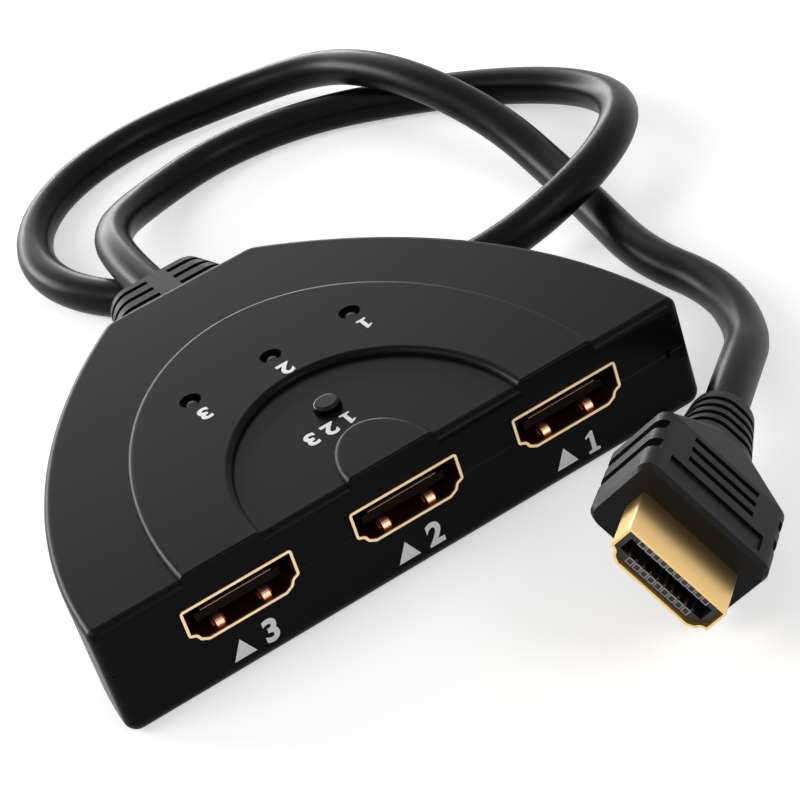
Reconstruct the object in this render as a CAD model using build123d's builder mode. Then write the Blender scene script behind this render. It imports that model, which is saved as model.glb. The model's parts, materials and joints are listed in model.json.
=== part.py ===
from build123d import *
import math
import os

os.makedirs("parts", exist_ok=True)

# A switch box with three sockets in its flat face and a short lead with a plug out of its back.
# Sizes are in millimetres and angles in degrees. X runs along the socket face, Y to the back, Z up.

# Casing
case_half_width = 40.4
case_depth = 59.6
case_height = 15.6
tier_rise = 0.9
parting_height = 9.1
wall = 1.6
ceiling = 1.6
floor_plate = 1.6
seat_half_width = 11.1
edge_round = 1.2
foot_round = 2.0
corner_round = 1.4
seam = 0.14
pry_notch_x = 37.2
pry_notch_width = 0.7
pry_notch_height = 1.1
pry_notch_depth = 0.7
seat_round = 3.0
tier_round = 0.85
tier_front_round = 0.4
inner_round = 0.8
overrun = 3.0

# The side walls bow out: the middle point of each arc, as shares of the half width and the depth
side_bow_x_share = 0.866
side_bow_y_share = 0.44

# Raised steps of the lid, half ellipses about the middle of the front face
ring_outer_half_width = 28.3
ring_outer_depth = 45.1
ring_inner_half_width = 17.5
ring_inner_depth = 24.7
centre_half_width = 6.0
centre_depth = 9.8

# Sockets
socket_pitch = 22.6
socket_width = 14.8
socket_height = 5.3
socket_top = 12.5
socket_flat_width = 10.4
socket_reach = 10.6
socket_wall = 0.35
socket_round = 0.45
socket_gap = 0.12
rim_proud = 0.3
side_height_share = 0.7
shoulder_in_share = 0.39
shoulder_down_share = 0.22
waist_in_share = 0.55
waist_down_share = 0.66
tongue_width = 11.2
tongue_thickness = 1.1
tongue_setback = 1.3
block_length = 4.2
contact_pitch = 0.5
contact_width = 0.28
contact_thickness = 0.12
contact_count = 19
tail_length = 1.3
finger_spacing = 6.2
finger_width = 1.7
finger_length = 3.2
finger_lift = 0.5
finger_setback = 1.4
leg_width = 1.4
leg_gap = 0.25
leg_below = 0.6
leg_front = 3.0
leg_back = 8.2

# Lead, its strain relief and its plug
cable_radius = 2.75
cable_gap = 0.05
cable_inside = 8.0
boot_reach = 10.5
boot_width = 20.8
boot_end_width = 15.2
boot_height = 8.0
boot_end_height = 7.4
boot_round_share = 0.46
boot_round = boot_round_share * min(boot_height, boot_end_height)
boot_slot = 0.9
boot_slot_depth = 1.1
boot_slot_pitch = 2.3
boot_slot_start = 1.6
boot_slot_count = 4
boot_spine = 3.2
boot_neck_width = 14.0
boot_neck_step = 1.0
boot_neck_round_share = 0.457
boot_neck_height = boot_height - boot_neck_step
boot_neck_round = boot_neck_round_share * boot_neck_height
boot_flange_width = 18.0
boot_flange_lip = 1.0
boot_flange_height = boot_neck_height + 2 * boot_flange_lip
boot_flange = 1.6

# Circuit board
board_thickness = 1.2
board_gap = 0.6
board_depth = 41.2

# Places are worked out from the sizes above, with the origin under the middle of the box
front_y = rim_proud - (case_depth + boot_reach + rim_proud) / 2
rear_y = front_y + case_depth
boot_end_y = rear_y + boot_reach
board_top = socket_top - socket_height
board_bottom = board_top - board_thickness
board_front = front_y + wall + board_gap
board_rear = board_front + board_depth
ceiling_z = case_height - ceiling
socket_mid = socket_top - socket_height / 2
socket_places = [(number + 1, socket_pitch * (1 - number)) for number in range(3)]


def case_plan(inset, front_corner, rear_corner):
    """Plan of the casing: a straight front, two bowed sides and a short seat for the strain relief."""
    bow_x = case_half_width * side_bow_x_share
    bow_y = front_y + case_depth * side_bow_y_share
    with BuildSketch() as plan:
        with BuildLine():
            front = Line((-case_half_width, front_y), (case_half_width, front_y))
            right = ThreePointArc(front @ 1, (bow_x, bow_y), (seat_half_width, rear_y))
            seat = Line(right @ 1, (-seat_half_width, rear_y))
            ThreePointArc(seat @ 1, (-bow_x, bow_y), front @ 0)
        make_face()
        if inset > 0:
            offset(amount=-inset, kind=Kind.INTERSECTION)
        corners = plan.vertices().group_by(Axis.Y)
        fillet(corners[0], front_corner)
        corners = plan.vertices().group_by(Axis.Y)
        fillet(corners[-1], rear_corner)
    return plan.sketch


def raised_tier(outer_half_width, outer_depth, inner_half_width, inner_depth):
    """One raised step of the lid: half an elliptical disc or ring, flat against the front plane."""
    with BuildPart() as tier:
        with BuildSketch(Plane.XY.offset(ceiling_z)):
            with Locations((0, front_y)):
                Ellipse(outer_half_width, outer_depth)
                if inner_half_width > 0:
                    Ellipse(inner_half_width, inner_depth, mode=Mode.SUBTRACT)
                Rectangle(
                    2 * (outer_half_width + overrun),
                    outer_depth + overrun,
                    align=(Align.CENTER, Align.MAX),
                    mode=Mode.SUBTRACT,
                )
        extrude(amount=ceiling + tier_rise)
        fillet(tier.faces().sort_by(Axis.Z)[-1].edges().filter_by(GeomType.LINE, reverse=True), tier_round)
        fillet(tier.faces().sort_by(Axis.Z)[-1].edges().filter_by(GeomType.LINE), tier_front_round)
    return tier.part


def mouth_outline(width, height, flat_width, rounding):
    """Mouth of a socket or plug about its middle: the wide side up, the lower corners stepped in."""
    side_foot = height / 2 - height * side_height_share
    reach_in = (width - flat_width) / 2
    drop = side_foot + height / 2
    shoulder = (width / 2 - reach_in * shoulder_in_share, side_foot - drop * shoulder_down_share)
    waist = (width / 2 - reach_in * waist_in_share, side_foot - drop * waist_down_share)
    with BuildSketch() as mouth:
        with BuildLine():
            Polyline(
                (-width / 2, height / 2),
                (width / 2, height / 2),
                (width / 2, side_foot),
                shoulder,
                waist,
                (flat_width / 2, -height / 2),
                (-flat_width / 2, -height / 2),
                (-waist[0], waist[1]),
                (-shoulder[0], shoulder[1]),
                (-width / 2, side_foot),
                close=True,
            )
        make_face()
        fillet(mouth.vertices(), rounding)
    return mouth.sketch


def round_bar(width, height, rounding):
    """Section of a flattened round bar."""
    with BuildSketch() as section:
        RectangleRounded(width, height, rounding)
    return section.sketch


def face_plane(x, y, z):
    """A plane that looks forward out of the socket face, with its own X along the box and Y up."""
    return Plane(origin=(x, y, z), x_dir=(1, 0, 0), z_dir=(0, -1, 0))


# Screws: the front two pass through the board, the rear two stand behind it
screw_radius = 1.0
screw_gap = 0.05
screw_length = 9.0
screw_head_radius = 1.9
screw_head_height = 1.3
screw_head_recess = 0.5
screw_head_gap = 0.3
screw_slot_width = 0.6
screw_slot_depth = 0.6
boss_radius = 2.9
post_radius = 2.5
board_hole_gap = 0.3
front_screw_x = 34.3
front_screw_y = 8.6
rear_screw_x = 14.5
rear_screw_y = 47.0
front_screws = [(side * front_screw_x, front_y + front_screw_y) for side in (-1, 1)]
rear_screws = [(side * rear_screw_x, front_y + rear_screw_y) for side in (-1, 1)]
screw_seat = screw_head_recess + screw_head_height

# Select button, its tact switch and the three lamps
button_y = 16.4
button_radius = 1.7
button_hole_gap = 0.1
button_top = 16.6
button_edge = 0.45
button_flange_radius = 2.8
button_flange = 0.8
button_flange_gap = 0.08
button_stem_radius = 1.3
tact_width = 6.0
tact_height = 3.5
tact_edge = 0.3
plunger_radius = 1.7
plunger_gap = 0.1
plunger_proud = 0.8
plunger_length = 1.9
plunger_room = 0.6
tact_leg_width = 1.0
tact_leg_reach = 0.9
tact_leg_thickness = 0.3
tact_leg_spacing = 4.5
lamp_spacing = 11.6
lamp_y = 31.3
lamp_radius = 1.2
lamp_hole_gap = 0.1
lamp_dish_radius = 1.45
lamp_dish_depth = 0.25
lamp_top = 16.25
lamp_base = 11.0
lamp_flange_radius = 1.9
lamp_flange = 1.0
lamp_leg = 0.5
lamp_leg_spacing = 2.54
lamp_leg_below = 0.8
lamp_leg_hole = 0.45
lamp_places = [(number + 1, lamp_spacing * (1 - number)) for number in range(3)]

outer_plan = case_plan(0, corner_round, seat_round)
inner_plan = case_plan(wall, inner_round, inner_round)
raised_ring = raised_tier(ring_outer_half_width, ring_outer_depth, ring_inner_half_width, ring_inner_depth)
raised_centre = raised_tier(centre_half_width, centre_depth, 0, 0)
socket_outline = mouth_outline(socket_width, socket_height, socket_flat_width, socket_round)


# Openings that both covers share: three socket windows in front, one for the strain relief behind
with BuildPart() as socket_windows:
    for _, x in socket_places:
        with BuildSketch(face_plane(x, front_y - overrun, socket_mid)):
            add(socket_outline)
            offset(amount=socket_gap)
    extrude(amount=-(wall + 2 * overrun))

# A small notch in the seam, where a blade parts the covers
with BuildPart() as pry_notch:
    with BuildSketch(face_plane(pry_notch_x, front_y - overrun, parting_height)):
        Rectangle(pry_notch_width, pry_notch_height)
    extrude(amount=-(pry_notch_depth + overrun))

with BuildPart() as boot_window:
    with BuildSketch(face_plane(0, rear_y + overrun, parting_height)):
        add(round_bar(boot_neck_width, boot_neck_height, boot_neck_round))
    extrude(amount=wall + overrun)

with BuildPart() as top_cover:
    with BuildSketch(Plane.XY.offset(parting_height)):
        add(outer_plan)
    extrude(amount=case_height - parting_height)
    fillet(top_cover.faces().sort_by(Axis.Z)[-1].edges(), edge_round)
    chamfer(top_cover.faces().sort_by(Axis.Z)[0].edges(), seam)
    add(raised_ring)
    add(raised_centre)
    with BuildSketch(Plane.XY.offset(parting_height)):
        add(inner_plan)
    extrude(amount=ceiling_z - parting_height, mode=Mode.SUBTRACT)
    with BuildSketch(Plane.XY.offset(board_top)):
        with Locations(*front_screws):
            Circle(post_radius)
    extrude(amount=ceiling_z - board_top)
    with BuildSketch(Plane.XY.offset(board_bottom)):
        with Locations(*rear_screws):
            Circle(post_radius)
    extrude(amount=ceiling_z - board_bottom)
    with BuildSketch(Plane.XY.offset(board_bottom)):
        with Locations(*front_screws, *rear_screws):
            Circle(screw_radius + screw_gap)
    extrude(amount=screw_seat + screw_length - board_bottom, mode=Mode.SUBTRACT)
    add(socket_windows.part, mode=Mode.SUBTRACT)
    add(boot_window.part, mode=Mode.SUBTRACT)
    add(pry_notch.part, mode=Mode.SUBTRACT)
    with BuildSketch(Plane.XY.offset(ceiling_z - overrun)):
        with Locations((0, front_y + button_y)):
            Circle(button_radius + button_hole_gap)
        with Locations(*[(x, front_y + lamp_y) for _, x in lamp_places]):
            Circle(lamp_radius + lamp_hole_gap)
    extrude(amount=ceiling + tier_rise + 2 * overrun, mode=Mode.SUBTRACT)
    with BuildSketch(Plane.XY.offset(case_height + tier_rise - lamp_dish_depth)):
        with Locations(*[(x, front_y + lamp_y) for _, x in lamp_places]):
            Circle(lamp_dish_radius)
    extrude(amount=overrun, mode=Mode.SUBTRACT)
top_cover.part.label = "top_cover"
export_step(top_cover.part, "parts/top_cover.step")

with BuildPart() as bottom_cover:
    with BuildSketch():
        add(outer_plan)
    extrude(amount=parting_height)
    fillet(bottom_cover.faces().sort_by(Axis.Z)[0].edges(), foot_round)
    chamfer(bottom_cover.faces().sort_by(Axis.Z)[-1].edges(), seam)
    with BuildSketch(Plane.XY.offset(floor_plate)):
        add(inner_plan)
    extrude(amount=parting_height - floor_plate, mode=Mode.SUBTRACT)
    with BuildSketch():
        with Locations(*front_screws, *rear_screws):
            Circle(boss_radius)
    extrude(amount=board_bottom)
    with BuildSketch():
        with Locations(*front_screws, *rear_screws):
            Circle(screw_head_radius + screw_head_gap)
    extrude(amount=screw_seat, mode=Mode.SUBTRACT)
    with BuildSketch():
        with Locations(*front_screws, *rear_screws):
            Circle(screw_radius + board_hole_gap)
    extrude(amount=board_bottom + overrun, mode=Mode.SUBTRACT)
    add(socket_windows.part, mode=Mode.SUBTRACT)
    add(boot_window.part, mode=Mode.SUBTRACT)
    add(pry_notch.part, mode=Mode.SUBTRACT)
bottom_cover.part.label = "bottom_cover"
export_step(bottom_cover.part, "parts/bottom_cover.step")

with BuildPart() as cover_screws:
    with BuildSketch(Plane.XY.offset(screw_head_recess)):
        with Locations(*front_screws, *rear_screws):
            Circle(screw_head_radius)
    extrude(amount=screw_head_height)
    with BuildSketch(Plane.XY.offset(screw_seat)):
        with Locations(*front_screws, *rear_screws):
            Circle(screw_radius)
    extrude(amount=screw_length)
    with BuildSketch(Plane.XY.offset(screw_head_recess)):
        with Locations(*front_screws, *rear_screws):
            Rectangle(screw_head_radius, screw_slot_width)
            Rectangle(screw_slot_width, screw_head_radius)
    extrude(amount=screw_slot_depth, mode=Mode.SUBTRACT)
cover_screws.part.label = "cover_screws"
export_step(cover_screws.part, "parts/cover_screws.step")

# The board fills the casing up to its rear edge
shell_leg_places = [
    (x + side * (socket_width - socket_wall) / 2, front_y + leg_y)
    for _, x in socket_places
    for side in (-1, 1)
    for leg_y in (leg_front, leg_back)
]
lamp_leg_places = [
    (x + side * lamp_leg_spacing / 2, front_y + lamp_y) for _, x in lamp_places for side in (-1, 1)
]
board_plan = case_plan(wall + board_gap, inner_round, inner_round)

with BuildPart() as circuit_board:
    with BuildSketch(Plane.XY.offset(board_bottom)):
        add(board_plan)
        with Locations((0, board_rear)):
            Rectangle(2 * case_half_width, case_depth, align=(Align.CENTER, Align.MIN), mode=Mode.SUBTRACT)
    extrude(amount=board_thickness)
    with BuildSketch(Plane.XY.offset(board_bottom)):
        with Locations(*front_screws):
            Circle(screw_radius + board_hole_gap)
        with Locations(*rear_screws):
            Circle(post_radius + board_hole_gap)
        with Locations(*shell_leg_places):
            Rectangle(socket_wall + 2 * leg_gap, leg_width + 2 * leg_gap)
        with Locations(*lamp_leg_places):
            Circle(lamp_leg_hole)
    extrude(amount=board_thickness, mode=Mode.SUBTRACT)
circuit_board.part.label = "circuit_board"
export_step(circuit_board.part, "parts/circuit_board.step")

# Each input socket: a plated shell, a tongue moulded with its rear block, and nineteen contacts
shell_front = front_y - rim_proud
shell_back = shell_front + socket_reach
block_front = shell_back - block_length
tongue_front = shell_front + tongue_setback
inner_height = socket_height - 2 * socket_wall
contact_row = [
    ((number - (contact_count - 1) / 2) * contact_pitch, 1 if number % 2 == 0 else -1)
    for number in range(contact_count)
]

for number, x in socket_places:
    with BuildPart() as input_shell:
        with BuildSketch(face_plane(x, shell_back, socket_mid)):
            add(socket_outline)
            offset(amount=-socket_wall, mode=Mode.SUBTRACT)
        extrude(amount=socket_reach)
        with BuildSketch(Plane.XY.offset(board_bottom - leg_below)):
            for side in (-1, 1):
                for leg_y in (leg_front, leg_back):
                    with Locations((x + side * (socket_width - socket_wall) / 2, front_y + leg_y)):
                        Rectangle(socket_wall, leg_width)
        extrude(amount=socket_mid - board_bottom + leg_below)
        for side in (-1, 1):
            for finger_x in (-finger_spacing / 2, finger_spacing / 2):
                root = socket_mid + side * inner_height / 2
                start = shell_front + finger_setback
                with BuildSketch(Plane.YZ.offset(x + finger_x - finger_width / 2)):
                    with BuildLine():
                        Polyline(
                            (start, root),
                            (start + finger_length / 4, root - side * finger_lift),
                            (start + finger_length / 2, root - side * finger_lift),
                            (start + finger_length, root),
                            close=True,
                        )
                    make_face()
                extrude(amount=finger_width)
    input_shell.part.label = f"input_shell_{number}"
    export_step(input_shell.part, f"parts/input_shell_{number}.step")

    with BuildPart() as input_insulator:
        with BuildSketch(face_plane(x, shell_back, socket_mid)):
            add(socket_outline)
            offset(amount=-socket_wall)
        extrude(amount=block_length)
        with BuildSketch(face_plane(x, block_front, socket_mid)):
            Rectangle(tongue_width, tongue_thickness)
        extrude(amount=block_front - tongue_front)
    input_insulator.part.label = f"input_insulator_{number}"
    export_step(input_insulator.part, f"parts/input_insulator_{number}.step")

    with BuildPart() as input_contacts:
        for offset_x, side in contact_row:
            strip_z = socket_mid + side * (tongue_thickness + contact_thickness) / 2
            with BuildSketch(face_plane(x + offset_x, block_front, strip_z)):
                Rectangle(contact_width, contact_thickness)
            extrude(amount=block_front - tongue_front - contact_width)
            with BuildSketch(Plane.XY.offset(board_top)):
                with Locations((x + offset_x, shell_back)):
                    Rectangle(contact_width, tail_length, align=(Align.CENTER, Align.MIN))
            extrude(amount=contact_thickness)
    input_contacts.part.label = f"input_contacts_{number}"
    export_step(input_contacts.part, f"parts/input_contacts_{number}.step")

# Select button over its tact switch
button_place = (0, front_y + button_y)
tact_top = board_top + tact_height
plunger_top = tact_top + plunger_proud
flange_top = ceiling_z - button_flange_gap

with BuildPart() as select_button:
    with BuildSketch(Plane.XY.offset(plunger_top)):
        with Locations(button_place):
            Circle(button_stem_radius)
    extrude(amount=flange_top - plunger_top)
    with BuildSketch(Plane.XY.offset(flange_top - button_flange)):
        with Locations(button_place):
            Circle(button_flange_radius)
    extrude(amount=button_flange)
    with BuildSketch(Plane.XY.offset(flange_top)):
        with Locations(button_place):
            Circle(button_radius)
    extrude(amount=button_top - flange_top)
    fillet(select_button.faces().sort_by(Axis.Z)[-1].edges(), button_edge)
select_button.part.label = "select_button"
export_step(select_button.part, "parts/select_button.step")

with BuildPart() as tact_switch_plunger:
    with BuildSketch(Plane.XY.offset(plunger_top - plunger_length)):
        with Locations(button_place):
            Circle(plunger_radius)
    extrude(amount=plunger_length)
tact_switch_plunger.part.label = "tact_switch_plunger"
export_step(tact_switch_plunger.part, "parts/tact_switch_plunger.step")

with BuildPart() as tact_switch_body:
    with BuildSketch(Plane.XY.offset(board_top)):
        with Locations(button_place):
            Rectangle(tact_width, tact_width)
    extrude(amount=tact_height)
    chamfer(tact_switch_body.edges().filter_by(Axis.Z), tact_edge)
    with BuildSketch(Plane.XY.offset(tact_top)):
        with Locations(button_place):
            Circle(plunger_radius + plunger_gap)
    extrude(amount=-(plunger_length - plunger_proud + plunger_room), mode=Mode.SUBTRACT)
tact_switch_body.part.label = "tact_switch_body"
export_step(tact_switch_body.part, "parts/tact_switch_body.step")

with BuildPart() as tact_switch_legs:
    with BuildSketch(Plane.XY.offset(board_top)):
        for side in (-1, 1):
            for along in (-tact_leg_spacing / 2, tact_leg_spacing / 2):
                with Locations((side * (tact_width + tact_leg_reach) / 2, front_y + button_y + along)):
                    Rectangle(tact_leg_reach, tact_leg_width)
    extrude(amount=tact_leg_thickness)
tact_switch_legs.part.label = "tact_switch_legs"
export_step(tact_switch_legs.part, "parts/tact_switch_legs.step")

# Indicator lamps on their legs, one for each input
for number, x in lamp_places:
    with BuildPart() as led:
        with BuildSketch(Plane.XY.offset(lamp_base)):
            with Locations((x, front_y + lamp_y)):
                Circle(lamp_flange_radius)
        extrude(amount=lamp_flange)
        with BuildSketch(Plane.XY.offset(lamp_base)):
            with Locations((x, front_y + lamp_y)):
                Circle(lamp_radius)
        extrude(amount=lamp_top - lamp_radius - lamp_base)
        with Locations((x, front_y + lamp_y, lamp_top - lamp_radius)):
            Sphere(lamp_radius)
    led.part.label = f"led_{number}"
    export_step(led.part, f"parts/led_{number}.step")

with BuildPart() as led_legs:
    with BuildSketch(Plane.XY.offset(board_bottom - lamp_leg_below)):
        with Locations(*lamp_leg_places):
            Rectangle(lamp_leg, lamp_leg)
    extrude(amount=lamp_base - board_bottom + lamp_leg_below)
led_legs.part.label = "led_legs"
export_step(led_legs.part, "parts/led_legs.step")

# Parts soldered on the board
chip_y = 25.2
chip_width = 7.0
chip_height = 1.3
chip_edge = 0.2
chip_pin_pitch = 0.8
chip_pin_count = 8
chip_pin_width = 0.35
chip_pin_reach = 0.9
chip_pin_thickness = 0.2
regulator_x = 19.0
regulator_y = 22.0
regulator_width = 6.5
regulator_depth = 3.5
regulator_height = 1.6
regulator_tab = 1.4
regulator_tab_width = 3.0
regulator_pin_width = 0.7
regulator_pin_pitch = 2.3
capacitor_length = 1.6
capacitor_width = 0.8
capacitor_height = 0.8
resistor_length = 1.2
resistor_width = 0.6
resistor_height = 0.4
diode_length = 2.6
diode_width = 1.4
diode_height = 1.1
small_part_pitch = 2.2
small_part_y = 15.6
second_row_y = 18.2

with BuildPart() as switch_chip:
    with BuildSketch(Plane.XY.offset(board_top)):
        with Locations((0, front_y + chip_y)):
            Rectangle(chip_width, chip_width)
    extrude(amount=chip_height)
    chamfer(switch_chip.faces().sort_by(Axis.Z)[-1].edges(), chip_edge)
switch_chip.part.label = "switch_chip"
export_step(switch_chip.part, "parts/switch_chip.step")

chip_pins_span = (chip_pin_count - 1) * chip_pin_pitch
chip_pin_offset = (chip_width + chip_pin_reach) / 2
with BuildPart() as switch_chip_pins:
    with BuildSketch(Plane.XY.offset(board_top)):
        for pin in range(chip_pin_count):
            along = pin * chip_pin_pitch - chip_pins_span / 2
            for side in (-1, 1):
                with Locations((along, front_y + chip_y + side * chip_pin_offset)):
                    Rectangle(chip_pin_width, chip_pin_reach)
                with Locations((side * chip_pin_offset, front_y + chip_y + along)):
                    Rectangle(chip_pin_reach, chip_pin_width)
    extrude(amount=chip_pin_thickness)
switch_chip_pins.part.label = "switch_chip_pins"
export_step(switch_chip_pins.part, "parts/switch_chip_pins.step")

with BuildPart() as voltage_regulator:
    with BuildSketch(Plane.XY.offset(board_top)):
        with Locations((regulator_x, front_y + regulator_y)):
            Rectangle(regulator_width, regulator_depth)
    extrude(amount=regulator_height)
    with BuildSketch(Plane.XY.offset(board_top)):
        with Locations((regulator_x, front_y + regulator_y + (regulator_depth + regulator_tab) / 2)):
            Rectangle(regulator_tab_width, regulator_tab)
        for pin in (-1, 0, 1):
            pin_x = regulator_x + pin * regulator_pin_pitch
            with Locations((pin_x, front_y + regulator_y - (regulator_depth + regulator_tab) / 2)):
                Rectangle(regulator_pin_width, regulator_tab)
    extrude(amount=chip_pin_thickness)
voltage_regulator.part.label = "voltage_regulator"
export_step(voltage_regulator.part, "parts/voltage_regulator.step")

# Rows of small parts behind each socket, clear of the switch in the middle
resistor_places = [
    (x + step * small_part_pitch, front_y + small_part_y)
    for _, x in socket_places
    if x != 0
    for step in (-2, -1, 0, 1, 2)
]
capacitor_places = [
    (x + step * small_part_pitch, front_y + second_row_y)
    for _, x in socket_places
    if x != 0
    for step in (-2, 0, 2)
]
diode_places = [(-regulator_x + step * 2 * small_part_pitch, front_y + regulator_y) for step in (-1, 0, 1)]


def board_parts(places, width, depth, height, label):
    """A group of small blocks that stand on the board."""
    with BuildPart() as group:
        with BuildSketch(Plane.XY.offset(board_top)):
            with Locations(*places):
                Rectangle(width, depth)
        extrude(amount=height)
    group.part.label = label
    export_step(group.part, f"parts/{label}.step")


board_parts(resistor_places, resistor_width, resistor_length, resistor_height, "resistors")
board_parts(capacitor_places, capacitor_width, capacitor_length, capacitor_height, "capacitors")
board_parts(diode_places, diode_width, diode_length, diode_height, "diodes")

# Strain relief: a slotted grip outside, a neck in the rear wall and a flange that keeps it in
with BuildPart() as cable_boot:
    with BuildSketch(face_plane(0, rear_y, parting_height)) as boot_base:
        add(round_bar(boot_width, boot_height, boot_round))
    with BuildSketch(face_plane(0, boot_end_y, parting_height)) as boot_end:
        add(round_bar(boot_end_width, boot_end_height, boot_round))
    loft()
    for row in range(boot_slot_count):
        slot_y = rear_y + boot_slot_start + row * boot_slot_pitch
        taper_share = (slot_y - rear_y) / boot_reach
        core_width = boot_width + (boot_end_width - boot_width) * taper_share - 2 * boot_slot_depth
        core_height = boot_height + (boot_end_height - boot_height) * taper_share - 2 * boot_slot_depth
        with BuildSketch(face_plane(0, slot_y + boot_slot, parting_height)):
            Rectangle(boot_width + overrun, boot_height + overrun)
            add(round_bar(core_width, core_height, boot_round - boot_slot_depth), mode=Mode.SUBTRACT)
            Rectangle(boot_spine, boot_height + overrun, mode=Mode.SUBTRACT)
        extrude(amount=boot_slot, mode=Mode.SUBTRACT)
    with BuildSketch(face_plane(0, rear_y, parting_height)):
        add(round_bar(boot_neck_width, boot_neck_height, boot_neck_round))
    extrude(amount=wall)
    with BuildSketch(face_plane(0, rear_y - wall, parting_height)):
        add(round_bar(boot_flange_width, boot_flange_height, boot_round))
    extrude(amount=boot_flange)
    with BuildSketch(face_plane(0, boot_end_y + overrun, parting_height)):
        Circle(cable_radius + cable_gap)
    extrude(amount=case_depth, mode=Mode.SUBTRACT)
cable_boot.part.label = "cable_boot"
export_step(cable_boot.part, "parts/cable_boot.step")

tail_inner_y = rear_y - cable_inside
with BuildPart() as cable_tail:
    with BuildSketch(face_plane(0, boot_end_y, parting_height)):
        Circle(cable_radius)
    extrude(amount=boot_end_y - tail_inner_y)
cable_tail.part.label = "cable_tail"
export_step(cable_tail.part, "parts/cable_tail.step")

# Wires from the end of the jacket down to the rear edge of the board
wire_radius = 0.45
wire_ring_radius = 1.8
wire_count = 8
wire_straight = 1.6
wire_bend = 0.9
wire_pad_pitch = 2.3
wire_land_y = 2.2
wire_end_y = 4.6
wire_lift = 0.05

with BuildPart() as inner_wires:
    for wire in range(wire_count):
        turn = math.radians(360 * (wire + 0.5) / wire_count)
        start_x = wire_ring_radius * math.cos(turn)
        start_z = parting_height + wire_ring_radius * math.sin(turn)
        rank = sorted(range(wire_count), key=lambda k: math.cos(math.radians(360 * (k + 0.5) / wire_count)))
        pad_x = (rank.index(wire) - (wire_count - 1) / 2) * wire_pad_pitch
        with BuildLine() as wire_path:
            FilletPolyline(
                (start_x, tail_inner_y, start_z),
                (start_x, tail_inner_y - wire_straight, start_z),
                (pad_x, board_rear - wire_land_y, board_top + wire_radius + wire_lift),
                (pad_x, board_rear - wire_end_y, board_top + wire_radius + wire_lift),
                radius=wire_bend,
            )
        with BuildSketch(wire_path.line ^ 0):
            Circle(wire_radius)
        sweep(path=wire_path.line)
inner_wires.part.label = "inner_wires"
export_step(inner_wires.part, "parts/inner_wires.step")

# Plug on the end of the lead: it lies on one edge, its mouth a little higher than its neck
plug_heading = 46.0
plug_rise = 8.0
plug_roll = 54.0
plug_width = 13.9
plug_height = 4.45
plug_flat_width = 10.0
plug_wall = 0.3
plug_round = 0.4
plug_reach = 7.4
plug_embed = 2.0
grip_width = 18.6
grip_height = 10.2
grip_round = 1.6
grip_length = 17.4
grip_front_taper = 0.8
grip_front_inset = 0.35
shoulder_length = 5.6
neck_width = 9.6
neck_height = 8.8
neck_end_width = 7.6
neck_end_height = 7.4
neck_length = 9.7
neck_round = 3.5
neck_groove = 1.0
neck_groove_depth = 0.8
neck_groove_pitch = 2.0
neck_groove_count = 4
notch_depth = 1.1
notch_width = 1.7
notch_pitch = 3.9
notch_start = 4.4
notch_count = 2
panel_width = 13.5
panel_length = 3.0
panel_depth = 0.35
panel_start = 1.7
rib_slot_width = 9.5
rib_slot_length = 0.9
rib_slot_pitch = 2.0
rib_slot_start = 6.2
rib_slot_count = 3
mouth_setback = 0.7
slot_width = 11.6
slot_height = 1.8
slot_depth = 7.5
plug_floor_gap = 0.05

heading = math.radians(plug_heading)
rise = math.radians(plug_rise)
roll = math.radians(plug_roll)
plug_back = Vector(
    math.cos(heading) * math.cos(rise), math.sin(heading) * math.cos(rise), -math.sin(rise)
)
plug_level = Vector(math.sin(heading), -math.cos(heading), 0)
plug_up = plug_level.cross(plug_back)
plug_across = plug_level * math.cos(roll) - plug_up * math.sin(roll)
plug_down = plug_back.cross(plug_across)

# The lowest corner of the grip touches the surface, which sets how high the plug lies
plug_total = plug_reach + grip_length + neck_length
grip_drop = min(
    side * (grip_width / 2 - grip_round) * plug_across.Z
    + edge * (grip_height / 2 - grip_round) * plug_down.Z
    + along * plug_back.Z
    for side in (-1, 1)
    for edge in (-1, 1)
    for along in (plug_reach + grip_front_taper, plug_reach + grip_length)
)
plug_height_above = grip_round + plug_floor_gap - grip_drop
neck_x = 34.0
neck_y = -50.2
neck_end = Vector(neck_x, neck_y, plug_height_above + plug_total * plug_back.Z)
plug_mouth = neck_end - plug_back * plug_total


def plug_plane(along):
    """A plane across the plug, this far behind its mouth, with its own Z towards the lead."""
    return Plane(origin=plug_mouth + plug_back * along, x_dir=plug_across, z_dir=plug_back)


plug_outline = mouth_outline(plug_width, plug_height, plug_flat_width, plug_round).mirror(Plane.XZ)

with BuildPart() as plug_shell:
    with BuildSketch(plug_plane(0)):
        add(plug_outline)
        offset(amount=-plug_wall, mode=Mode.SUBTRACT)
    extrude(amount=plug_reach + plug_embed)
plug_shell.part.label = "plug_shell"
export_step(plug_shell.part, "parts/plug_shell.step")

with BuildPart() as plug_insulator:
    with BuildSketch(plug_plane(mouth_setback)):
        add(plug_outline)
        offset(amount=-plug_wall)
    extrude(amount=plug_reach + plug_embed - mouth_setback)
    with BuildSketch(plug_plane(mouth_setback)):
        Rectangle(slot_width, slot_height)
    extrude(amount=slot_depth, mode=Mode.SUBTRACT)
plug_insulator.part.label = "plug_insulator"
export_step(plug_insulator.part, "parts/plug_insulator.step")

with BuildPart() as plug_contacts:
    for offset_x, side in contact_row:
        with BuildSketch(plug_plane(mouth_setback + contact_width)):
            with Locations((offset_x, side * (slot_height - contact_thickness) / 2)):
                Rectangle(contact_width, contact_thickness)
        extrude(amount=slot_depth - contact_width)
plug_contacts.part.label = "plug_contacts"
export_step(plug_contacts.part, "parts/plug_contacts.step")

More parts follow.
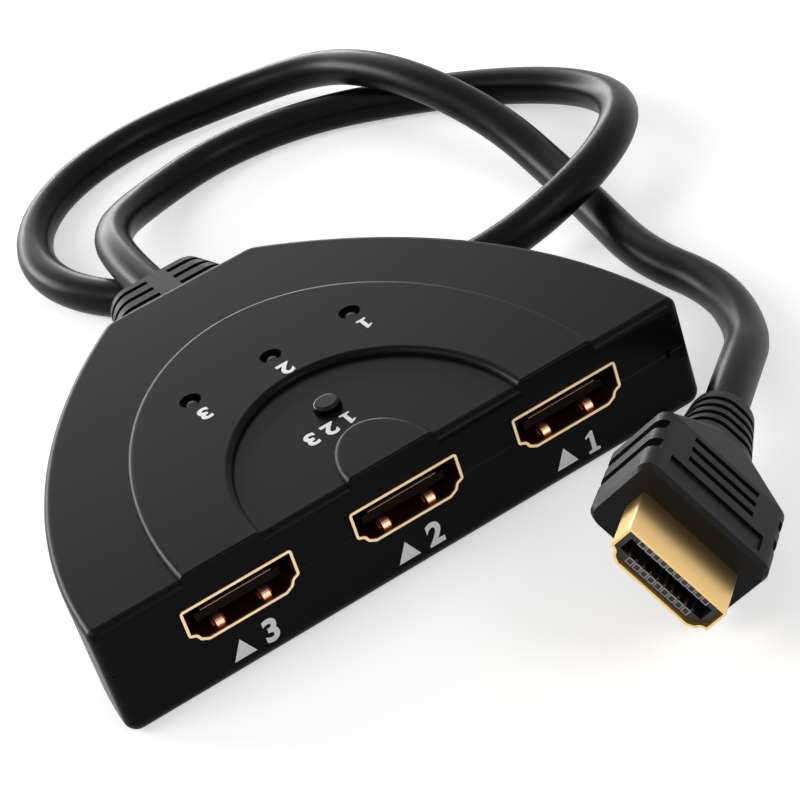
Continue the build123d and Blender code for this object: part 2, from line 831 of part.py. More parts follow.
shoulder_start = plug_reach + grip_length - shoulder_length
with BuildPart() as plug_grip:
    with BuildSketch(plug_plane(plug_reach)):
        add(round_bar(grip_width - 2 * grip_front_inset, grip_height - 2 * grip_front_inset, grip_round))
    with BuildSketch(plug_plane(plug_reach + grip_front_taper)):
        add(round_bar(grip_width, grip_height, grip_round))
    loft()
    with BuildSketch(plug_plane(plug_reach + grip_front_taper)):
        add(round_bar(grip_width, grip_height, grip_round))
    extrude(amount=grip_length - grip_front_taper - shoulder_length)
    with BuildSketch(plug_plane(shoulder_start)):
        add(round_bar(grip_width, grip_height, grip_round))
    with BuildSketch(plug_plane(plug_reach + grip_length)):
        add(round_bar(neck_width, neck_height, neck_round))
    loft()
    with BuildSketch(plug_plane(plug_reach + grip_length)):
        add(round_bar(neck_width, neck_height, neck_round))
    with BuildSketch(plug_plane(plug_total)):
        add(round_bar(neck_end_width, neck_end_height, neck_round))
    loft()
    for step in range(notch_count):
        notch_at = plug_reach + notch_start + step * notch_pitch
        with BuildSketch(plug_plane(notch_at)):
            for side in (-1, 1):
                with Locations((side * (grip_width + overrun) / 2 - side * notch_depth, 0)):
                    Rectangle(overrun, grip_height + overrun)
        extrude(amount=notch_width, mode=Mode.SUBTRACT)
    for step in range(neck_groove_count):
        groove_at = plug_reach + grip_length + neck_groove + step * neck_groove_pitch
        taper_share = (groove_at - plug_reach - grip_length) / neck_length
        core_width = neck_width + (neck_end_width - neck_width) * taper_share - 2 * neck_groove_depth
        core_height = neck_height + (neck_end_height - neck_height) * taper_share - 2 * neck_groove_depth
        with BuildSketch(plug_plane(groove_at)):
            Rectangle(grip_width, grip_width)
            add(round_bar(core_width, core_height, neck_round - neck_groove_depth), mode=Mode.SUBTRACT)
        extrude(amount=neck_groove, mode=Mode.SUBTRACT)
    for side in (-1, 1):
        with BuildSketch(plug_plane(plug_reach + panel_start)):
            with Locations((0, side * (grip_height + overrun) / 2 - side * panel_depth)):
                Rectangle(panel_width, overrun)
        extrude(amount=panel_length, mode=Mode.SUBTRACT)
        for step in range(rib_slot_count):
            with BuildSketch(plug_plane(plug_reach + rib_slot_start + step * rib_slot_pitch)):
                with Locations((0, side * (grip_height + overrun) / 2 - side * 2 * panel_depth)):
                    Rectangle(rib_slot_width, overrun)
            extrude(amount=rib_slot_length, mode=Mode.SUBTRACT)
    with BuildSketch(plug_plane(plug_reach)):
        add(plug_outline)
    extrude(amount=plug_embed, mode=Mode.SUBTRACT)
plug_grip.part.label = "plug_grip"
export_step(plug_grip.part, "parts/plug_grip.step")

# The lead's route, chosen by hand: out of the strain relief, over its own return near the box,
# round the small loop, under the box's edge of the big loop and back to the plug at the front
lead_straight = 12.5
lead_out = plug_back * lead_straight
cable_route = [
    (0, boot_end_y, parting_height),
    (0, 49.1, parting_height),
    (3.4, 62.3, 7.0),
    (13.2, 72.4, 3.4),
    (27.4, 76.6, 2.75),
    (42.3, 73.0, 2.75),
    (55.5, 63.2, 2.75),
    (65.7, 52.7, 2.75),
    (71.5, 40.8, 3.6),
    (71.0, 27.8, 6.0),
    (64.5, 16.5, 8.7),
    (53.7, 9.3, 8.9),
    (40.7, 7.9, 6.6),
    (28.9, 12.5, 3.9),
    (20.6, 22.5, 2.75),
    (13.0, 35.5, 2.75),
    (2.4, 44.8, 2.75),
    (-5.4, 56.9, 2.75),
    (-7.0, 70.5, 2.75),
    (-2.0, 82.9, 2.75),
    (8.2, 91.2, 2.75),
    (22.0, 94.0, 2.75),
    (37.4, 89.9, 3.2),
    (47.7, 79.5, 6.4),
    (51.1, 65.3, 9.3),
    (53.9, 51.0, 9.3),
    (56.8, 37.4, 6.0),
    (56.7, 23.4, 2.9),
    (54.5, 9.2, 2.75),
    (52.2, -5.1, 2.75),
    (54.3, -19.7, 2.75),
    (49.8, -32.8, 3.6),
    tuple(neck_end + lead_out),
    tuple(neck_end),
]

corner_radii = []
for before, corner, after in zip(cable_route, cable_route[1:], cable_route[2:]):
    run_in = Vector(*corner) - Vector(*before)
    run_out = Vector(*after) - Vector(*corner)
    turn = math.radians(run_in.get_angle(run_out))
    corner_radii.append(0.45 * min(run_in.length, run_out.length) / math.tan(turn / 2))
print("cable corner radii", [round(radius, 1) for radius in corner_radii])

with BuildPart() as cable:
    with BuildLine() as cable_path:
        FilletPolyline(*cable_route, radius=corner_radii)
    with BuildSketch(cable_path.line ^ 0):
        Circle(cable_radius)
    sweep(path=cable_path.line)
cable.part.label = "cable"
export_step(cable.part, "parts/cable.step")
section_area = math.pi * cable_radius**2
cable_length = sum(edge.length for edge in cable_path.edges())
print("cable length", round(cable_length, 1))
print("cable volume over section times length", cable.part.volume / (section_area * cable_length))
print("plug mouth", plug_mouth, "neck", neck_end)
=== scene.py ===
# %% [markdown]
# # A video switch box with a short lead
# The real object is a palm-sized black box. Three sockets sit in its flat face, a small round button
# and three lamps sit in its stepped lid, and a short lead leaves its back through a slotted sleeve.
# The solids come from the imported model, which fixes every size. This file gives them their finishes,
# lays the lead over them as one smooth cord, and adds the thin things that a solid model leaves out,
# such as printed numbers, spring leaves and the plug's moulded details.

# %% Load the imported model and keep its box
import json
import math

import bmesh
import bpy
from mathutils import Matrix, Vector


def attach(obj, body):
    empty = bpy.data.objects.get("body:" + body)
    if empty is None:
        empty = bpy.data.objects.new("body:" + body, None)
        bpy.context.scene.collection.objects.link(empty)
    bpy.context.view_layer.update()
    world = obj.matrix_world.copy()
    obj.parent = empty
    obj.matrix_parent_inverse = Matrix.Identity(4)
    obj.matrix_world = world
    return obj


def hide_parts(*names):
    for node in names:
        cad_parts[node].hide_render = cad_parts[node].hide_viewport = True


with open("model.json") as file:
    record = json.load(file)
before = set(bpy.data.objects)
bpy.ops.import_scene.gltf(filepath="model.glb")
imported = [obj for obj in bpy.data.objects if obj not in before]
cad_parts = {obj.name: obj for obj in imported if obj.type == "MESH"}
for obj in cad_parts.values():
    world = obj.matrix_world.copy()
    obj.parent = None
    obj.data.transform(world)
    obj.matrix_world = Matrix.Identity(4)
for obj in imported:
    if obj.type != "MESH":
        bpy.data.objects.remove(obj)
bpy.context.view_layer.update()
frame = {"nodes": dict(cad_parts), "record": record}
solids = frame["nodes"]
MM = 0.001

# %% [markdown]
# ## The camera
# A photograph fixes the camera once enough straight edges and known sizes are found in it. The three
# sockets are of one standard size, so their corners gave the camera's place, its tilt and its lens.
# Three turns set the view: around the box, down towards it, and a roll, because in the photograph the
# box lies tilted on its own lead. A roll of the camera gives the same picture with the box lying flat.

# %% Place the camera
LENS_LENGTH = 120.76
SENSOR_WIDTH = 36.0
NEAR_LIMIT = 0.01
CAMERA_PLACE = (-0.0814, -0.2757, 0.1881)
CAMERA_TURNS = ((-19.35, "Z"), (57.04, "X"), (-18.95, "Z"))

camera_data = bpy.data.cameras.new("photo_camera")
camera_data.lens = LENS_LENGTH
camera_data.sensor_width = SENSOR_WIDTH
camera_data.clip_start = NEAR_LIMIT
camera = bpy.data.objects.new("photo_camera", camera_data)
bpy.context.scene.collection.objects.link(camera)
turn_around, tip_down, roll = (Matrix.Rotation(math.radians(angle), 4, axis) for angle, axis in CAMERA_TURNS)
camera.matrix_world = Matrix.Translation(CAMERA_PLACE) @ turn_around @ tip_down @ roll
bpy.context.scene.camera = camera
print("camera at", [round(v, 4) for v in camera.location])

# %% [markdown]
# ## The floor and the light
# The picture is a studio shot on white. A plain pale floor takes the shadow. The white surroundings are
# seen by the camera and in the gloss of the finishes, while their soft light on the object is kept low.
# The floor is clear from below, so the underside of the box can be looked at too.
# Three lamps stand behind, because the lid shows a soft grey sheen towards the camera and its edges
# carry thin light lines. One more hangs on the left, and one fills the front.

# %% Pale floor and white surroundings
FLOOR_GREY = 0.86
FLOOR_LIFT = 0.52
FLOOR_REACH = 3.0
FLOOR_DROP = 0.05 * MM
ROOM_LIGHT = 0.24
ROOM_SEEN = 1.0


def seen_directly(nodes, links):
    """One where a ray from the camera, a mirror-like reflection or a clear piece looks, else zero."""
    path = nodes.new("ShaderNodeLightPath")
    found = path.outputs["Is Camera Ray"]
    for other in ("Is Glossy Ray", "Is Transmission Ray"):
        either = nodes.new("ShaderNodeMath")
        either.operation = "MAXIMUM"
        links.new(found, either.inputs[0])
        links.new(path.outputs[other], either.inputs[1])
        found = either.outputs[0]
    return found


floor_finish = bpy.data.materials.new("pale_floor")
floor_finish.use_nodes = True
tree = floor_finish.node_tree
tree.nodes.clear()
matte = tree.nodes.new("ShaderNodeBsdfDiffuse")
matte.inputs["Color"].default_value = (FLOOR_GREY, FLOOR_GREY, FLOOR_GREY, 1)
glow = tree.nodes.new("ShaderNodeEmission")
lift = tree.nodes.new("ShaderNodeMath")
lift.operation = "MULTIPLY"
lift.inputs[1].default_value = FLOOR_LIFT
tree.links.new(seen_directly(tree.nodes, tree.links), lift.inputs[0])
tree.links.new(lift.outputs[0], glow.inputs["Strength"])
both = tree.nodes.new("ShaderNodeAddShader")
tree.links.new(matte.outputs[0], both.inputs[0])
tree.links.new(glow.outputs[0], both.inputs[1])
under = tree.nodes.new("ShaderNodeNewGeometry")
clear = tree.nodes.new("ShaderNodeBsdfTransparent")
sided = tree.nodes.new("ShaderNodeMixShader")
tree.links.new(under.outputs["Backfacing"], sided.inputs["Fac"])
tree.links.new(both.outputs[0], sided.inputs[1])
tree.links.new(clear.outputs[0], sided.inputs[2])
out = tree.nodes.new("ShaderNodeOutputMaterial")
tree.links.new(sided.outputs[0], out.inputs["Surface"])

floor_mesh = bpy.data.meshes.new("floor")
corner_signs = ((-1, -1), (1, -1), (1, 1), (-1, 1))
floor_corners = [(x * FLOOR_REACH, y * FLOOR_REACH, -FLOOR_DROP) for x, y in corner_signs]
floor_mesh.from_pydata(floor_corners, [], [(0, 1, 2, 3)])
floor_mesh.materials.append(floor_finish)
floor = bpy.data.objects.new("floor", floor_mesh)
bpy.context.scene.collection.objects.link(floor)

world = bpy.data.worlds.new("studio")
bpy.context.scene.world = world
world.use_nodes = True
sky = world.node_tree
background = sky.nodes["Background"]
background.inputs["Color"].default_value = (1, 1, 1, 1)
strength = sky.nodes.new("ShaderNodeMapRange")
strength.inputs["To Min"].default_value = ROOM_LIGHT
strength.inputs["To Max"].default_value = ROOM_SEEN
sky.links.new(seen_directly(sky.nodes, sky.links), strength.inputs["Value"])
sky.links.new(strength.outputs[0], background.inputs["Strength"])
bpy.context.scene.view_settings.view_transform = "Standard"

# %% Five soft lamps
# Each lamp has its place and its size in metres, and its power in watts. All face the box's middle.
LAMP_AIM = (0.01, 0.01, 0.01)
STRIP_HEIGHT = 0.2
lamps = {
    "behind_lamp": ((0.20, 0.80, 0.50), 0.5, 0.8),
    "low_lamp_behind_left": ((-0.62, 0.85, 0.30), 0.35, 5.0),
    "low_strip_behind": ((-0.10, 1.0, 0.14), 1.2, 8.0),
    "left_lamp": ((-0.60, 0.15, 0.60), 0.4, 2.0),
    "front_lamp": ((0.35, -0.75, 0.60), 0.4, 2.2),
}
for name, (place, size, power) in lamps.items():
    lamp_data = bpy.data.lights.new(name, "AREA")
    lamp_data.size = size
    lamp_data.energy = power
    if name == "low_strip_behind":
        lamp_data.shape = "RECTANGLE"
        lamp_data.size_y = STRIP_HEIGHT
    lamp = bpy.data.objects.new(name, lamp_data)
    lamp.location = place
    lamp.rotation_euler = (Vector(LAMP_AIM) - Vector(place)).to_track_quat("-Z", "Y").to_euler()
    bpy.context.scene.collection.objects.link(lamp)
print("lamps", len(lamps))

# %% [markdown]
# ## Finishes
# Nearly all of it is black, so the difference lies in how each black shines. The casing is moulded
# plastic with a fine spark-eroded grain, the sleeve and the jacket are softer and smoother, and the
# button is polished. Metal is thin gold coloured plating. Each finish is one Principled shader, and
# noise in the object's own space moves its colour, roughness and bump a little.

# %% One helper for the finishes
NOISE_DETAIL = 4
BUMP_STRENGTH = 0.6


def finish(
    name, colour, roughness, grain=0.0003, depth=0.0, spread=0.15, metallic=0.0, mottle=0.1, shine=0.5
):
    """A finish whose colour and roughness vary with noise of the given grain, in metres."""
    material = bpy.data.materials.new(name)
    material.use_nodes = True
    nodes, links = material.node_tree.nodes, material.node_tree.links
    surface = nodes["Principled BSDF"]
    surface.inputs["Metallic"].default_value = metallic
    surface.inputs["Specular IOR Level"].default_value = shine
    place = nodes.new("ShaderNodeTexCoord")
    noise = nodes.new("ShaderNodeTexNoise")
    noise.inputs["Scale"].default_value = 1 / grain
    noise.inputs["Detail"].default_value = NOISE_DETAIL
    links.new(place.outputs["Object"], noise.inputs["Vector"])
    shade = nodes.new("ShaderNodeMapRange")
    shade.inputs["To Min"].default_value = max(0.0, roughness - spread / 2)
    shade.inputs["To Max"].default_value = min(1.0, roughness + spread / 2)
    links.new(noise.outputs["Fac"], shade.inputs["Value"])
    links.new(shade.outputs[0], surface.inputs["Roughness"])
    tint = nodes.new("ShaderNodeMix")
    tint.data_type = "RGBA"
    tint.inputs["A"].default_value = [channel * (1 - mottle) for channel in colour] + [1]
    tint.inputs["B"].default_value = [min(1, channel * (1 + mottle)) for channel in colour] + [1]
    links.new(noise.outputs["Fac"], tint.inputs["Factor"])
    links.new(tint.outputs["Result"], surface.inputs["Base Color"])
    if depth:
        bump = nodes.new("ShaderNodeBump")
        bump.inputs["Distance"].default_value = depth
        bump.inputs["Strength"].default_value = BUMP_STRENGTH
        links.new(noise.outputs["Fac"], bump.inputs["Height"])
        links.new(bump.outputs[0], surface.inputs["Normal"])
    return material


case_colour = (0.0040, 0.0040, 0.0042)
case_black = finish(
    "case_black_grained", case_colour, 0.31, grain=0.0004, depth=0.000002, spread=0.05, shine=0.05
)
plug_black = finish(
    "plug_black_moulded", (0.007, 0.007, 0.0072), 0.44, grain=0.0003, depth=0.00003, shine=0.12
)
sleeve_black = finish(
    "sleeve_soft_black", (0.005, 0.005, 0.0052), 0.44, grain=0.0004, depth=0.00002, shine=0.1
)
jacket_black = finish(
    "jacket_smooth_black", (0.0032, 0.0032, 0.0034), 0.32, grain=0.0008, depth=0.00001, shine=0.08
)
button_black = finish(
    "button_smooth_black", (0.0015, 0.0015, 0.0016), 0.25, grain=0.001, spread=0.06, shine=0.12
)
gold = finish("gold_plating", (0.84, 0.56, 0.23), 0.31, grain=0.008, spread=0.04, metallic=1.0, mottle=0.04)
contact_gold = finish("contact_plating", (0.58, 0.38, 0.20), 0.36, grain=0.0006, metallic=1.0)
tip_gold = finish("contact_tip_gold", (0.50, 0.34, 0.20), 0.4, grain=0.0006, metallic=1.0)
spring_copper = finish("spring_copper", (0.72, 0.40, 0.27), 0.34, grain=0.0008, spread=0.1, metallic=1.0)
tongue_brown = finish("tongue_red_brown", (0.006, 0.002, 0.0016), 0.45, grain=0.0007, shine=0.05)
plug_insert = finish("plug_insert_black", (0.010, 0.010, 0.010), 0.4, grain=0.0005)
board_green = finish("board_green", (0.015, 0.12, 0.05), 0.3, grain=0.0015, mottle=0.25)
chip_black = finish("chip_black_resin", (0.025, 0.025, 0.025), 0.6, grain=0.0003)
tinned = finish("tinned_legs", (0.72, 0.72, 0.74), 0.35, grain=0.0006, metallic=1.0)
ceramic = finish("capacitor_tan", (0.50, 0.36, 0.22), 0.6, grain=0.0005)
screw_steel = finish("screw_zinc", (0.55, 0.55, 0.57), 0.32, grain=0.0005, metallic=1.0)
lamp_resin = finish("lamp_smoked_resin", (0.012, 0.012, 0.013), 0.2, grain=0.001, spread=0.08, shine=0.4)
cell_grey = finish("contact_cell_grey", (0.30, 0.29, 0.31), 0.45, grain=0.0005, metallic=1.0)
ink_white = finish("printed_white", (0.90, 0.91, 0.94), 0.5, grain=0.00015, mottle=0.05)
wire_red = finish("wire_red", (0.45, 0.04, 0.03), 0.35, grain=0.002)

# %% [markdown]
# The socket shells are plated all over, yet each one looks like a thin gold line round a dark red-brown
# throat, because next to no light reaches its inside. The finish paints that shade in: it turns dark
# a little way behind the rim, which keeps that look from every side, and costs nothing in the mesh.

# %% Gold at the rim, painted shade in the throat
RIM_Y = -34.95 * MM
RIM_BLEND = 0.2 * MM
RIM_GOLD = (0.93, 0.68, 0.42)
# The throat colour is painted shade: dark plating where little light reaches inside the shell.
THROAT_PAINTED_SHADE = (0.34, 0.10, 0.055)


def rim_and_throat(name, rim_y, rim_colour, throat_shade_colour):
    """Gold in front of a plane across Y and painted shade, a dark colour, behind it, with a short blend
    between.
    """
    material = finish(name, rim_colour, 0.31, grain=0.0012, spread=0.04, metallic=1.0)
    nodes, links = material.node_tree.nodes, material.node_tree.links
    surface = nodes["Principled BSDF"]
    plated = surface.inputs["Base Color"].links[0].from_socket
    place = nodes.new("ShaderNodeTexCoord")
    split = nodes.new("ShaderNodeSeparateXYZ")
    links.new(place.outputs["Object"], split.inputs[0])
    inside = nodes.new("ShaderNodeMapRange")
    inside.inputs["From Min"].default_value = rim_y
    inside.inputs["From Max"].default_value = rim_y + RIM_BLEND
    links.new(split.outputs["Y"], inside.inputs["Value"])
    pick = nodes.new("ShaderNodeMix")
    pick.data_type = "RGBA"
    pick.inputs["B"].default_value = (*throat_shade_colour, 1)
    links.new(inside.outputs[0], pick.inputs["Factor"])
    links.new(plated, pick.inputs["A"])
    links.new(pick.outputs["Result"], surface.inputs["Base Color"])
    return material


socket_gold = rim_and_throat("socket_gold_rim", RIM_Y, RIM_GOLD, THROAT_PAINTED_SHADE)

# %% Give every solid its finish
finish_of = {
    "case_plastic": case_black,
    "screw_steel": screw_steel,
    "board_laminate": board_green,
    "gold_plating": gold,
    "socket_insulator": tongue_brown,
    "contact_metal": contact_gold,
    "button_plastic": button_black,
    "switch_plastic": chip_black,
    "tinned_metal": tinned,
    "lamp_resin": lamp_resin,
    "chip_resin": chip_black,
    "capacitor_ceramic": ceramic,
    "boot_rubber": sleeve_black,
    "cord_jacket": jacket_black,
    "wire_insulation": wire_red,
    "plug_plastic": plug_black,
    "insulator_plastic": plug_insert,
}
slot_of = {part["node"]: part["material_slot"] for part in frame["record"]["subparts"]}
for name, solid in solids.items():
    solid.data.materials.clear()
    worn = socket_gold if name.startswith("input_shell") else finish_of[slot_of[name]]
    solid.data.materials.append(worn)
print("finished", len(slot_of), "solids")

# %% [markdown]
# ## The lead
# A lead is one length of something springy, so it is drawn as one smooth curve with a round section.
# The points are the same route that the solid model's tube follows: out of the sleeve, twice round in
# loose loops that cross low over each other, past the corner of the box and into the plug's neck. A
# curve of this kind passes near its control points and never kinks.

# %% Draw the lead through its route
LEAD_DIAMETER = 5.5 * MM
sleeve_end = (0.0, 35.2, 9.1)
plug_neck = (34.0, -50.2, 8.506)
route = [
    sleeve_end,
    (0.0, 49.1, 9.1),
    (3.4, 62.3, 7.0),
    (13.2, 72.4, 3.4),
    (27.4, 76.6, 2.75),
    (42.3, 73.0, 2.75),
    (55.5, 63.2, 2.75),
    (65.7, 52.7, 2.75),
    (71.5, 40.8, 3.6),
    (71.0, 27.8, 6.0),
    (64.5, 16.5, 8.7),
    (53.7, 9.3, 8.9),
    (40.7, 7.9, 6.6),
    (28.9, 12.5, 3.9),
    (20.6, 22.5, 2.75),
    (13.0, 35.5, 2.75),
    (2.4, 44.8, 2.75),
    (-5.4, 56.9, 2.75),
    (-7.0, 70.5, 2.75),
    (-2.0, 82.9, 2.75),
    (8.2, 91.2, 2.75),
    (22.0, 94.0, 2.75),
    (37.4, 89.9, 3.2),
    (47.7, 79.5, 6.4),
    (51.1, 65.3, 9.3),
    (53.9, 51.0, 9.3),
    (56.8, 37.4, 6.0),
    (56.7, 23.4, 2.9),
    (54.5, 9.2, 2.75),
    (52.2, -5.1, 2.75),
    (54.3, -19.7, 2.75),
    (49.8, -32.8, 3.6),
    (42.6, -41.3, 6.77),
    plug_neck,
]
lead_curve = bpy.data.curves.new("lead", "CURVE")
lead_curve.dimensions = "3D"
lead_curve.bevel_depth = LEAD_DIAMETER / 2
lead_curve.bevel_resolution = 8
lead_curve.resolution_u = 10
lead_curve.use_fill_caps = True
line = lead_curve.splines.new("NURBS")
line.points.add(len(route) - 1)
for point, place in zip(line.points, route):
    point.co = (*[value * MM for value in place], 1)
line.order_u = 3
line.use_endpoint_u = True
lead_curve.materials.append(jacket_black)
lead = bpy.data.objects.new("lead", lead_curve)
bpy.context.scene.collection.objects.link(lead)
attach(lead, "housing")
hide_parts("cable")
print("lead points", len(route))

# %% [markdown]
# ## Printed numbers
# The lid and the socket face carry white print. It is ink a few hundredths of a millimetre thick, so
# flat text set just above the plastic is enough. Plain numbers name the sockets and the lamps, and a
# small triangle points from each number to its socket. The lid's print reads from the side of the
# lead, so it is turned half round.

# %% Two ways to lay down ink
INK = 0.02 * MM
FONT_HEIGHT_SHARE = 0.7
FONT_BOLD_SHARE = 0.05


def flat_shape(name, outline, place, across, up, material):
    """A thin flat shape with the given outline, in metres, on a plane."""
    across, up = Vector(across), Vector(up)
    out_of = across.cross(up)
    mesh = bmesh.new()
    ring = [mesh.verts.new(Vector(place) + across * x + up * y + out_of * INK) for x, y in outline]
    sheet = mesh.faces.new(ring)
    grown = bmesh.ops.extrude_face_region(mesh, geom=[sheet])
    back = [item for item in grown["geom"] if isinstance(item, bmesh.types.BMVert)]
    bmesh.ops.translate(mesh, vec=-2 * INK * out_of, verts=back)
    bmesh.ops.recalc_face_normals(mesh, faces=mesh.faces)
    data = bpy.data.meshes.new(name)
    mesh.to_mesh(data)
    data.materials.append(material)
    shape = bpy.data.objects.new(name, data)
    bpy.context.scene.collection.objects.link(shape)
    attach(shape, "housing")
    return shape


def font_digit(name, digit, height, place, across, up):
    """A digit of Blender's own font, centred on a place, that runs along across and stands along up."""
    data = bpy.data.curves.new(name, "FONT")
    data.body = digit
    data.size = height / FONT_HEIGHT_SHARE
    data.align_x = "CENTER"
    data.align_y = "CENTER"
    data.extrude = INK
    data.offset = FONT_BOLD_SHARE * height
    data.materials.append(ink_white)
    text = bpy.data.objects.new(name, data)
    across, up = Vector(across), Vector(up)
    turn = Matrix((across, up, across.cross(up))).transposed().to_4x4()
    text.matrix_world = Matrix.Translation(place) @ turn
    bpy.context.scene.collection.objects.link(text)
    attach(text, "housing")
    return text


# %% A one with a flag and a foot
# The font's own one is a bare bar, and the real print has feet. Its outline is given here as shares of
# the digit's height, from the foot's lower left corner round to the right, up the stem and back down.
ONE_SHARES = [(-0.27, -0.5), (0.27, -0.5), (0.27, -0.38), (0.11, -0.34), (0.11, 0.5), (0.0, 0.5)]
ONE_SHARES += [(-0.27, 0.33), (-0.27, 0.24), (-0.09, 0.28), (-0.09, -0.34), (-0.27, -0.38)]


def printed(name, number, height, place, across, up):
    """One printed number, drawn as a shape for the one and set in the font for the others."""
    if number == 1:
        outline = [(x * height, y * height) for x, y in ONE_SHARES]
        return flat_shape(name, outline, place, across, up, ink_white)
    return font_digit(name, str(number), height, place, across, up)


# %% Print the numbers on the lid and the face
NUMBERS = (1, 2, 3)
LOW_LID = 15.6 * MM
HIGH_LID = 16.5 * MM
FACE = -34.9 * MM
socket_x = {1: 22.6 * MM, 2: 0.0, 3: -22.6 * MM}
lamp_x = {1: 11.6 * MM, 2: 0.0, 3: -11.6 * MM}
LAMP_PRINT_Y = -7.7 * MM
BUTTON_PRINT_Y = -22.6 * MM
FACE_PRINT_Z = 3.6 * MM
LID_DIGIT = 2.5 * MM
FACE_DIGIT = 3.0 * MM
BUTTON_DIGIT_START, BUTTON_DIGIT_STEP = 3.2, 2.6
digit_beside = 1.9 * MM
arrow_beside = 2.0 * MM
LID_PRINT = ((-1, 0, 0), (0, -1, 0))
FACE_PRINT = ((1, 0, 0), (0, 0, 1))
for number in NUMBERS:
    beside_lamp = (lamp_x[number], LAMP_PRINT_Y, HIGH_LID + INK)
    printed(f"lamp_number_{number}", number, LID_DIGIT, beside_lamp, *LID_PRINT)
    under_socket = (socket_x[number] + digit_beside, FACE - INK, FACE_PRINT_Z)
    printed(f"socket_number_{number}", number, FACE_DIGIT, under_socket, *FACE_PRINT)
    button_digit_x = (BUTTON_DIGIT_START - BUTTON_DIGIT_STEP * number) * MM
    by_button = (button_digit_x, BUTTON_PRINT_Y, LOW_LID + INK)
    printed(f"select_number_{number}", number, LID_DIGIT, by_button, *LID_PRINT)
print("numbers", 3 * len(NUMBERS))

# %% Print a triangle beside each socket number
arrow_half_width, arrow_half_height = 1.5 * MM, 1.3 * MM
triangle = [(-arrow_half_width, -arrow_half_height), (arrow_half_width, -arrow_half_height)]
triangle.append((0, arrow_half_height))
for number in NUMBERS:
    beside_number = (socket_x[number] - arrow_beside, FACE, FACE_PRINT_Z)
    flat_shape(f"socket_arrow_{number}", triangle, beside_number, *FACE_PRINT, ink_white)
print("triangles", len(NUMBERS))

# %% [markdown]
# ## Spring leaves in the sockets
# Two small copper leaves press on a plug from below, and they are the brightest spots inside each
# socket. Each is a strip of metal bent into a low arch, so it is swept here from a short profile and
# given the strip's width and thickness.

# %% Bend the spring leaves
def swept_strip(name, profile, width, thickness, material):
    """A strip of the given width along X that follows a profile of points in metres, X given last."""
    mesh = bmesh.new()
    rows = []
    corners = ((-1, 0), (1, 0), (1, thickness), (-1, thickness))
    for y, z, x in profile:
        rows.append([mesh.verts.new((x + side * width / 2, y, z + lift)) for side, lift in corners])
    for near, far in zip(rows, rows[1:]):
        for corner in range(4):
            after = (corner + 1) % 4
            mesh.faces.new((near[corner], near[after], far[after], far[corner]))
    mesh.faces.new(rows[0][::-1])
    mesh.faces.new(rows[-1])
    bmesh.ops.recalc_face_normals(mesh, faces=mesh.faces)
    data = bpy.data.meshes.new(name)
    mesh.to_mesh(data)
    data.materials.append(material)
    strip = bpy.data.objects.new(name, data)
    bpy.context.scene.collection.objects.link(strip)
    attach(strip, "housing")
    return strip


socket_front = -35.2 * MM
throat_floor = 7.55 * MM
leaf_steps = 10
leaf_start, leaf_length = 0.9 * MM, 2.4 * MM
leaf_rise, leaf_roundness = 0.75 * MM, 0.6
leaf_width, leaf_thickness = 1.0 * MM, 0.12 * MM
leaf_spacing = 6.2 * MM
for number in NUMBERS:
    for side, end in ((-1, "left"), (1, "right")):
        centre = socket_x[number] + side * leaf_spacing / 2
        arch = []
        for step in range(leaf_steps + 1):
            share = step / leaf_steps
            lift = leaf_rise * math.sin(math.pi * share) ** leaf_roundness
            arch.append((socket_front + leaf_start + leaf_length * share, throat_floor + lift, centre))
        leaf = f"spring_leaf_{number}_{end}"
        swept_strip(leaf, arch, leaf_width, leaf_thickness, spring_copper)
print("spring leaves", 2 * len(NUMBERS), "each", leaf_steps, "steps")

# %% [markdown]
# ## The light line on each tongue
# The front tips of the upper contacts lie side by side along the tongue's upper edge. From a step away
# they read as one thin light line, so a narrow strip over the tips carries that line.

# %% Lay a strip over the upper contact tips
tongue_tip = -33.9 * MM
tongue_top = 10.52 * MM
tip_step = 0.1 * MM
tips_width, tips_thickness = 9.4 * MM, 0.06 * MM
for number in NUMBERS:
    tips = [(tongue_tip + step * tip_step, tongue_top, socket_x[number]) for step in range(5)]
    swept_strip(f"contact_tips_{number}", tips, tips_width, tips_thickness, tip_gold)
print("contact tips", len(NUMBERS))

# %% [markdown]
# ## Contact frames in the plug's mouth
# The plug shows two rows of small cells round its slot, one for each contact. Every cell is a thin
# bright frame in the black insert. The plug lies rolled over on one edge, so the frames are placed in
# the plug's own directions: across its mouth, down through its height and back along its grip.

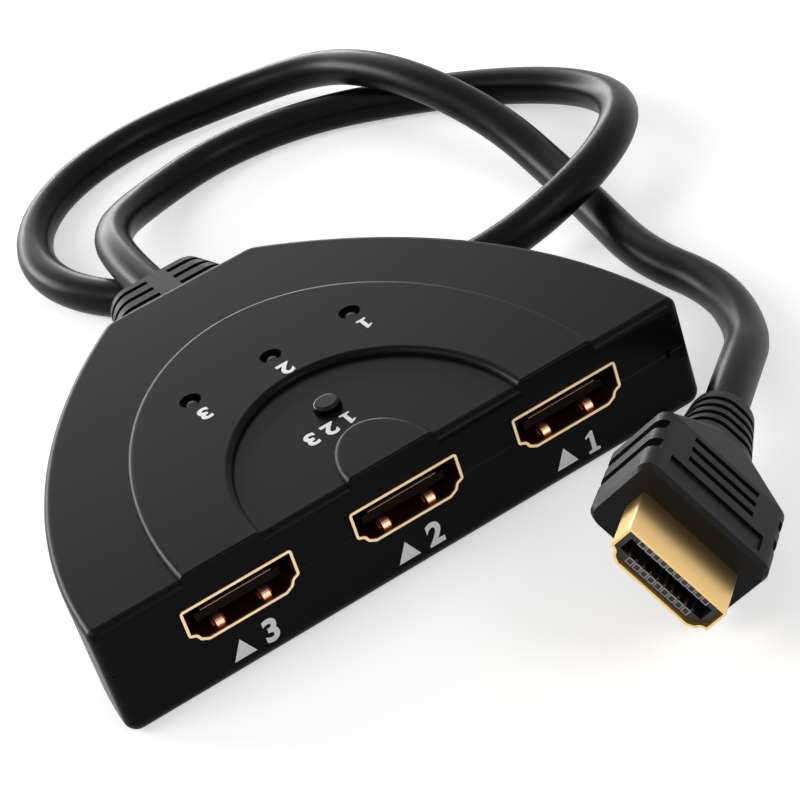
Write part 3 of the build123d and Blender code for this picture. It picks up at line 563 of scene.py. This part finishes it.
# %% Find the plug's own directions
PLUG_LENGTH = 34.5 * MM
PLUG_ANGLES = (46.0, 8.0, 54.0)
heading, rise, lean = (math.radians(angle) for angle in PLUG_ANGLES)
plug_back = Vector((math.cos(heading) * math.cos(rise), math.sin(heading) * math.cos(rise), -math.sin(rise)))
plug_level = Vector((math.sin(heading), -math.cos(heading), 0))
plug_up = plug_level.cross(plug_back)
plug_across = plug_level * math.cos(lean) - plug_up * math.sin(lean)
plug_down = plug_back.cross(plug_across)
plug_mouth = Vector(plug_neck) * MM - plug_back * PLUG_LENGTH
print("plug mouth", [round(value / MM, 2) for value in plug_mouth])

# %% Set a bright frame round each contact
def frame_mesh(mesh, centre, across, down, out, width, height, rim, thickness):
    """Adds one rectangular frame to a mesh, flat on the plane of across and down."""
    rings = []
    for grow in (0, -rim):
        for lift in (0, thickness):
            half_w, half_h = width / 2 + grow, height / 2 + grow
            corners = ((-half_w, -half_h), (half_w, -half_h), (half_w, half_h), (-half_w, half_h))
            rings.append([mesh.verts.new(centre + across * x + down * y + out * lift) for x, y in corners])
    outer_low, outer_high, inner_low, inner_high = rings
    round_the_rim = (outer_low, outer_high, inner_high, inner_low, outer_low)
    for corner in range(4):
        after = (corner + 1) % 4
        for a, b in zip(round_the_rim, round_the_rim[1:]):
            mesh.faces.new((a[corner], a[after], b[after], b[corner]))


CONTACTS = 19
CONTACT_PITCH = 0.5 * MM
insert_setback = 0.7 * MM
row_offset = 1.28 * MM
cell_size = (0.86 * MM, 0.82 * MM)
cell_rim = 0.11 * MM
cell_height = 0.08 * MM
insert_front = plug_mouth + plug_back * insert_setback
cells = bmesh.new()
for place in range(CONTACTS):
    side = -1 if place % 2 == 0 else 1
    along_row = plug_across * (place - CONTACTS // 2) * CONTACT_PITCH
    centre = insert_front + along_row + plug_down * side * row_offset
    frame_mesh(cells, centre, plug_across, plug_down, -plug_back, *cell_size, cell_rim, cell_height)
bmesh.ops.recalc_face_normals(cells, faces=cells.faces)
cell_mesh = bpy.data.meshes.new("plug_contact_frames")
cells.to_mesh(cell_mesh)
cell_mesh.materials.append(cell_grey)
cell_frames = bpy.data.objects.new("plug_contact_frames", cell_mesh)
bpy.context.scene.collection.objects.link(cell_frames)
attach(cell_frames, "housing")
print("contact frames", CONTACTS)
